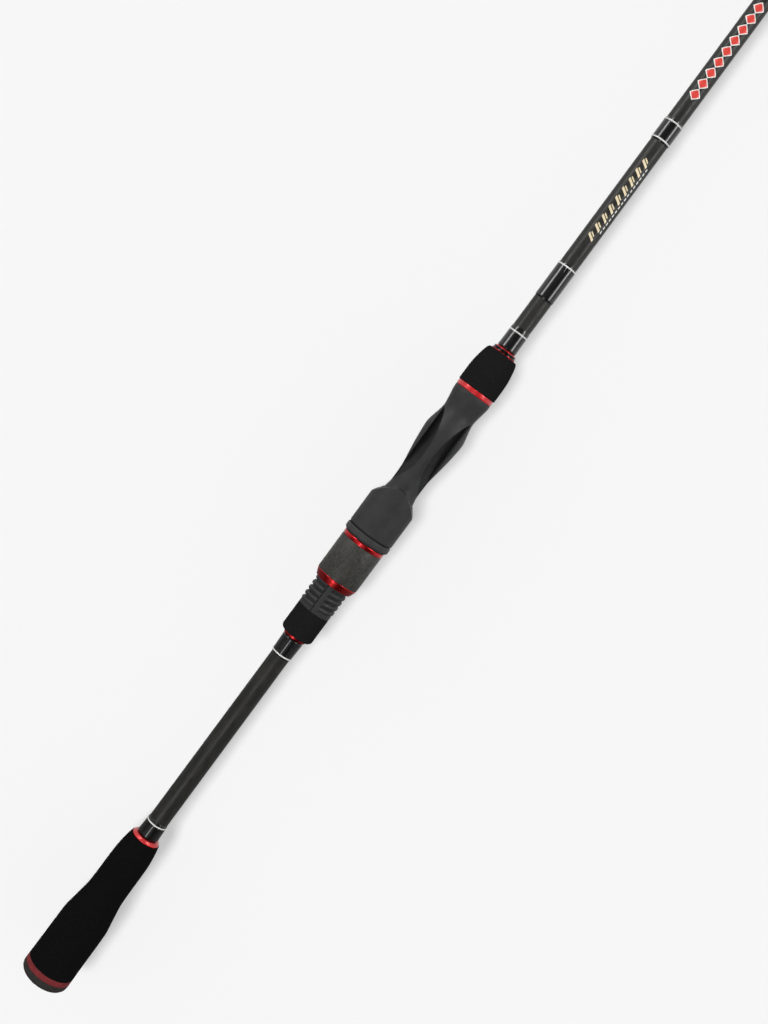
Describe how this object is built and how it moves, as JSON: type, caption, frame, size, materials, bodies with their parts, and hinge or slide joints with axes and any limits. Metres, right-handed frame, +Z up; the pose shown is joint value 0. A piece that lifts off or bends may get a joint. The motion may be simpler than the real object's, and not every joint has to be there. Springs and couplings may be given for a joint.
{
  "type": "spinning rod",
  "caption": "Long two-piece fishing rod for a spinning reel, with a screw-down reel seat, foam grips and line guides below the blank.",
  "frame": {"origin": "centre of the butt cap's flat end, on the rod's axis", "axes": "+X along the rod from butt to tip, +Z up with the reel foot and the line guides on the -Z side, +Y to the left when looking to the tip"},
  "size_m": [2.1, 0.029, 0.0497],
  "materials": {
    "rubber_cap": "matte, moulded",
    "red_rubber_ring": "matte dark red",
    "eva_black": "closed-cell EVA foam, matte, fine grain",
    "eva_charcoal": "closed-cell EVA foam, matte",
    "red_trim": "anodised bright red, satin",
    "red_anodised": "anodised red, polished",
    "thread_wrap": "black winding thread under clear epoxy",
    "silver_trim": "silver winding thread under epoxy",
    "carbon_blank": "carbon fibre, sanded matte, faint wrap marks",
    "seat_plastic": "glass-filled nylon, soft matte",
    "core_black": "dark sleeve, satin",
    "arbor": "turned filler rings",
    "nut_plastic": "moulded nylon",
    "nut_marble": "chopped-carbon marbled sleeve, satin",
    "collar_grey": "satin dark grey",
    "guide_metal": "gunsmoke stainless, bright",
    "keeper_metal": "bright wire",
    "ceramic": "polished dark alumina"
  },
  "bodies": {
    "rod": {"butt_cap": "rubber_cap", "butt_cap_ring": "red_rubber_ring", "rear_grip": "eva_black", "rear_grip_check": "red_trim", "rear_grip_wrap": "thread_wrap", "butt_blank": "carbon_blank", "seat_rear_wrap": "thread_wrap", "seat_rear_check": "red_anodised", "seat_rear_sleeve": "eva_charcoal", "thread_barrel": "seat_plastic", "reel_seat_body": "seat_plastic", "seat_core": "core_black", "barrel_arbors": "arbor", "core_arbors": "arbor", "seat_front_ring": "red_trim", "fore_grip": "eva_charcoal", "fore_grip_check": "red_anodised", "fore_grip_wrap": "thread_wrap", "hook_keeper": "keeper_metal", "keeper_wrap": "thread_wrap", "accent_wrap": "thread_wrap", "trim_bands": "silver_trim", "butt_guide_wraps": "thread_wrap", "guide_1_frame": "guide_metal", "guide_1_ring": "ceramic"},
    "hood": {"moving_hood": "seat_plastic", "hood_collar": "collar_grey"},
    "nut": {"lock_nut": "nut_plastic", "nut_barrel": "nut_marble", "nut_rear_ring": "red_anodised", "nut_front_ring": "red_anodised", "nut_retainer": "nut_plastic"},
    "tip_section": {"tip_blank": "carbon_blank", "ferrule_wrap": "thread_wrap", "ferrule_band": "silver_trim", "tip_guide_wraps": "thread_wrap", "tip_top_frame": "guide_metal", "tip_top_ring": "ceramic", "tip_top_wrap": "thread_wrap", "guide_2_frame": "guide_metal", "guide_2_ring": "ceramic", "guide_3_frame": "guide_metal", "guide_3_ring": "ceramic", "guide_4_frame": "guide_metal", "guide_4_ring": "ceramic", "guide_5_frame": "guide_metal", "guide_5_ring": "ceramic", "guide_6_frame": "guide_metal", "guide_6_ring": "ceramic", "guide_7_frame": "guide_metal", "guide_7_ring": "ceramic", "guide_8_frame": "guide_metal", "guide_8_ring": "ceramic"}
  },
  "joints": [
    {"name": "hood_slide", "type": "slide", "parent": "rod", "child": "hood", "axis": [1, 0, 0], "range_m": [-0.01701, 0.01191]},
    {"name": "nut_spin", "type": "hinge", "parent": "hood", "child": "nut", "pos_m": [0.2945, 0, 0], "axis": [1, 0, 0], "range_deg": [-1800, 1260]},
    {"name": "ferrule_slide", "type": "slide", "parent": "rod", "child": "tip_section", "axis": [1, 0, 0], "range_m": [0, 0.08]}
  ],
  "couplings": [
    {"joint": "hood_slide", "follows": "nut_spin", "m_per_rad": 0.00054113}
  ]
}
